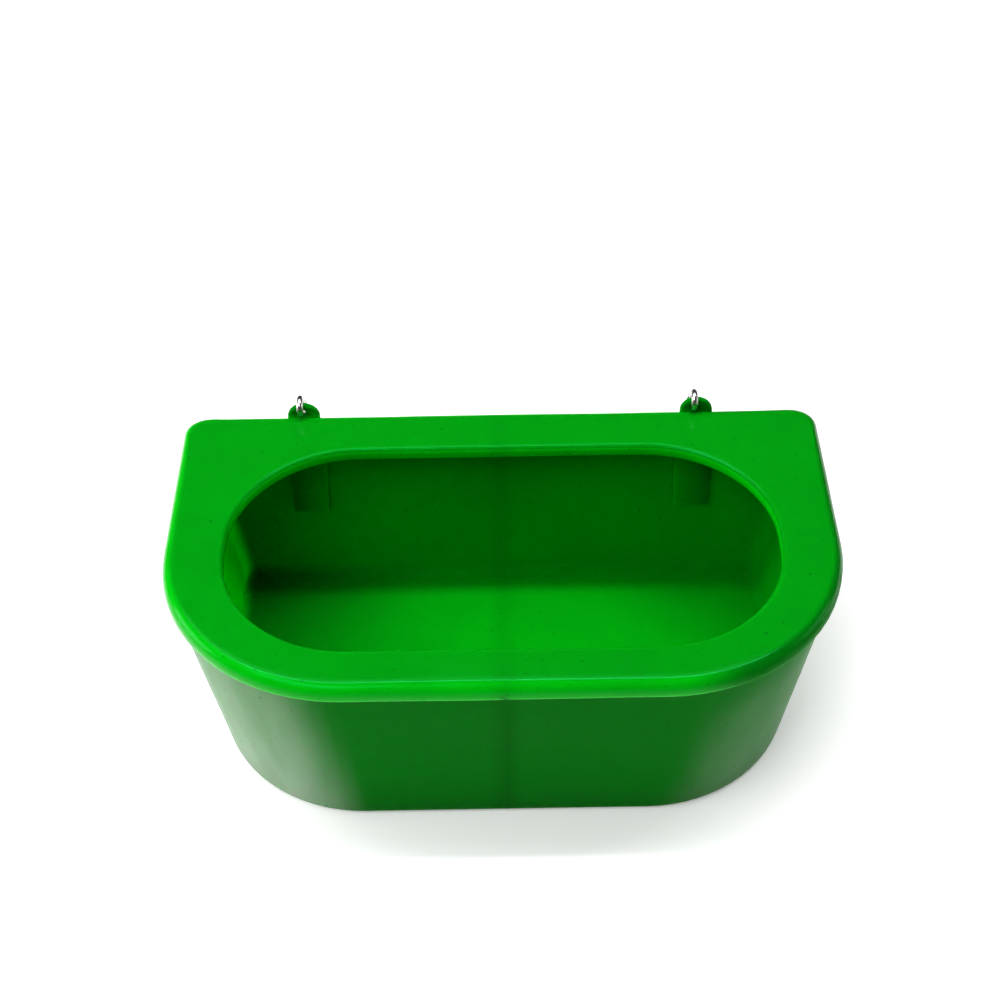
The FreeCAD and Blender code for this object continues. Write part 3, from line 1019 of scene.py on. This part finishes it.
    def painted_light_at(self, place: Vector, normal: Vector) -> float:
        """Share of painted light at a place: 1 inside, less on the rim, 0 on the outer wall, which is painted
        in shade.

        Args:
            place: Place on the trough's skin.
            normal: Direction that the skin faces there.

        Returns:
            The share, from 0 to 1.
        """
        inner_back = self.back_wall(place.z) - self.wall / 2
        inward = Vector((place.x, place.y, 0.0)).dot(normal) < 0 and place.y < inner_back
        if place.z > self.rim_top + self.ear_margin:
            return self.ear_painted_light
        band = self.band_painted_light * self.band_lit_and_gloss_share(place)
        if place.z > self.rim_top - self.rim_margin and normal.z > 0.3:
            on_edge = 0.0 if inward else ease((1.0 - normal.z) / self.turned_down)
            return self.rim_painted_light + (band - self.rim_painted_light) * on_edge
        if inward and place.z > self.rim_top - self.lip_drop - self.edge_margin:
            return self.lip_painted_light
        if inward or place.z < self.floor_reach and normal.z > 0.5:
            # Painted light: the left end wall inside is painted lighter, standing in for light shining
            # through the plastic.
            lit_end = ease((-self.opening.half_width - place.x) / self.end_wall_fade) * ease(normal.x)
            # Painted shadow: the inside floor is painted darker towards its left end, and less towards its
            # right end, where the rim shades it.
            left = 1.0 - ease((place.x + self.base_half_width) / self.left_shade_reach)
            right = self.right_shade * (1.0 - ease((self.base_half_width - place.x) / self.right_shade_reach))
            unshaded = 1.0 - self.floor_shade * ease(normal.z) * max(left, right)
            return self.inner_painted_light * unshaded + (1.0 - self.inner_painted_light) * lit_end
        if place.z > self.band_bottom - self.edge_margin:
            return band
        return 0.0

    def polish_at(self, place: Vector, normal: Vector) -> float:
        """Share of gloss at a place on the skin.

        Args:
            place: Place on the trough's skin.
            normal: Direction that the skin faces there.

        Returns:
            1 on the rim, its lip and most of its band, 0 on the walls.
        """
        if place.z > self.rim_top + self.ear_margin or place.z < self.band_bottom - self.edge_margin / 2:
            return 0.0
        return 1.0 if normal.z > 0.5 else self.band_lit_and_gloss_share(place)

    def mark_painted_light(self, trough: bpy.types.Object) -> None:
        """Store the shares of painted sheen with dust, painted light and gloss on the trough's vertices.

        Args:
            trough: The finished moulding.
        """
        mesh = trough.data
        measures = {"dust_and_sheen": self.dust_and_sheen_at, "painted_light": self.painted_light_at, "polish": self.polish_at}
        for name, share_at in measures.items():
            shares = [share_at(vertex.co, vertex.normal) for vertex in mesh.vertices]
            mesh.attributes.new(name, "FLOAT", "POINT").data.foreach_set("value", shares)

    def dress(self, trough: bpy.types.Object) -> None:
        """Give the trough its finish and its place in the frame.

        Args:
            trough: The finished moulding.
        """
        self.mark_painted_light(trough)
        trough.data.materials.clear()
        trough.data.materials.append(MouldedPolyethylene().make())
        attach(trough, "trough")
        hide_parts("trough_shell")
        LOG.info("trough has %d faces", len(trough.data.polygons))


# ---- the snap hooks ---------------------------------------------------------------------


@dataclass
class SnapHook:
    """One spring snap hook: the finishes of its five CAD nodes."""

    side: Side
    finishes: dict[str, bpy.types.Material]

    def dress(self) -> None:
        """Give every node of the hook its material."""
        for part, finish in self.finishes.items():
            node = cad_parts[f"{self.side.value}_{part}"]
            node.data.materials.clear()
            node.data.materials.append(finish)
            LOG.info("%s dressed in %s", node.name, finish.name)


# ---- the studio -------------------------------------------------------------------------


@dataclass(frozen=True)
class SoftLight:
    """A rectangular soft light that faces a point."""

    name: str
    place: Point
    target: Point
    width: float
    length: float
    watts: float
    tint: tuple[float, float, float] = (1.0, 1.0, 1.0)

    def build(self) -> None:
        """Hang the light."""
        lamp = bpy.data.lights.new(self.name, "AREA")
        lamp.shape = "RECTANGLE"
        lamp.size = self.width
        lamp.size_y = self.length
        lamp.energy = self.watts
        lamp.color = self.tint
        holder = bpy.data.objects.new(self.name, lamp)
        bpy.context.scene.collection.objects.link(holder)
        holder.location = self.place
        aim = Vector(self.target) - Vector(self.place)
        holder.rotation_euler = aim.to_track_quat("-Z", "Y").to_euler()


@dataclass
class Studio:
    """Pale floor, soft light and the camera."""

    camera_place: Point = (-0.00118, -1.01581, 1.19988)
    camera_pitch: float = 0.76449
    camera_roll: float = 0.0165
    lens: float = 64.95
    floor_size: float = 12.0
    lights: tuple[SoftLight, ...] = (
        SoftLight("top_softbox", (-0.45, 0.38, 1.7), (-0.45, 0.38, 0.0), 2.2, 1.0, 20.0),
        SoftLight("top_strip", (0.0, 0.05, 1.6), (0.0, 0.05, 0.0), 2.2, 0.12, 26.0),
        SoftLight("front_softbox", (-0.7, -0.8, 1.5), (0.0, 0.0, 0.1), 1.2, 0.6, 15.0),
        SoftLight("left_window", (-1.5, 0.0, 0.5), (0.0, 0.0, 0.1), 0.7, 0.6, 8.0),
        SoftLight("right_window", (1.6, 0.0, 0.5), (0.0, 0.0, 0.1), 0.7, 0.6, 2.0),
    )
    ambient: float = 0.08

    def build(self) -> None:
        """Make the floor, the lights, the surroundings and the camera."""
        deselect_all()
        bpy.ops.mesh.primitive_plane_add(size=self.floor_size, location=(0.0, 0.0, -0.0004))
        floor = bpy.context.object
        floor.name = "studio_floor"
        floor.data.materials.append(StudioFloor().make())
        for light in self.lights:
            light.build()
        scene = bpy.context.scene
        scene.world = bpy.data.worlds.new("surroundings")
        scene.world.use_nodes = True
        background = scene.world.node_tree.nodes["Background"]
        background.inputs["Color"].default_value = (1.0, 1.0, 1.0, 1.0)
        background.inputs["Strength"].default_value = self.ambient
        scene.view_settings.view_transform = "Standard"
        self.build_camera()

    def build_camera(self) -> None:
        """Place the camera in front of the trough, looking down on it."""
        camera = bpy.data.objects.new("camera", bpy.data.cameras.new("camera"))
        bpy.context.scene.collection.objects.link(camera)
        camera.data.lens = self.lens
        camera.data.sensor_width = 36.0
        camera.matrix_world = (
            Matrix.Translation(self.camera_place)
            @ Matrix.Rotation(math.pi / 2 - self.camera_pitch, 4, "X")
            @ Matrix.Rotation(-self.camera_roll, 4, "Z")
        )
        bpy.context.scene.camera = camera


def main() -> None:
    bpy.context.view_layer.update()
    Studio().build()
    moulding = TroughMoulding()
    moulding.dress(moulding.build())
    plated = PlatedSteel("zinc_plate").make()
    turned = PlatedSteel("turned_steel", (0.62, 0.62, 0.63, 1.0), (0.38, 0.38, 0.40, 1.0), 0.19).make()
    wire = PlatedSteel("spring_wire", (0.30, 0.30, 0.32, 1.0), (0.18, 0.18, 0.19, 1.0), 0.36).make()
    finishes = {
        "snap_body": plated,
        "snap_gate": plated,
        "gate_pin": turned,
        "gate_plunger": turned,
        "gate_spring": wire,
    }
    for side in Side:
        SnapHook(side, finishes).dress()


if __name__ == "__main__":
    main()
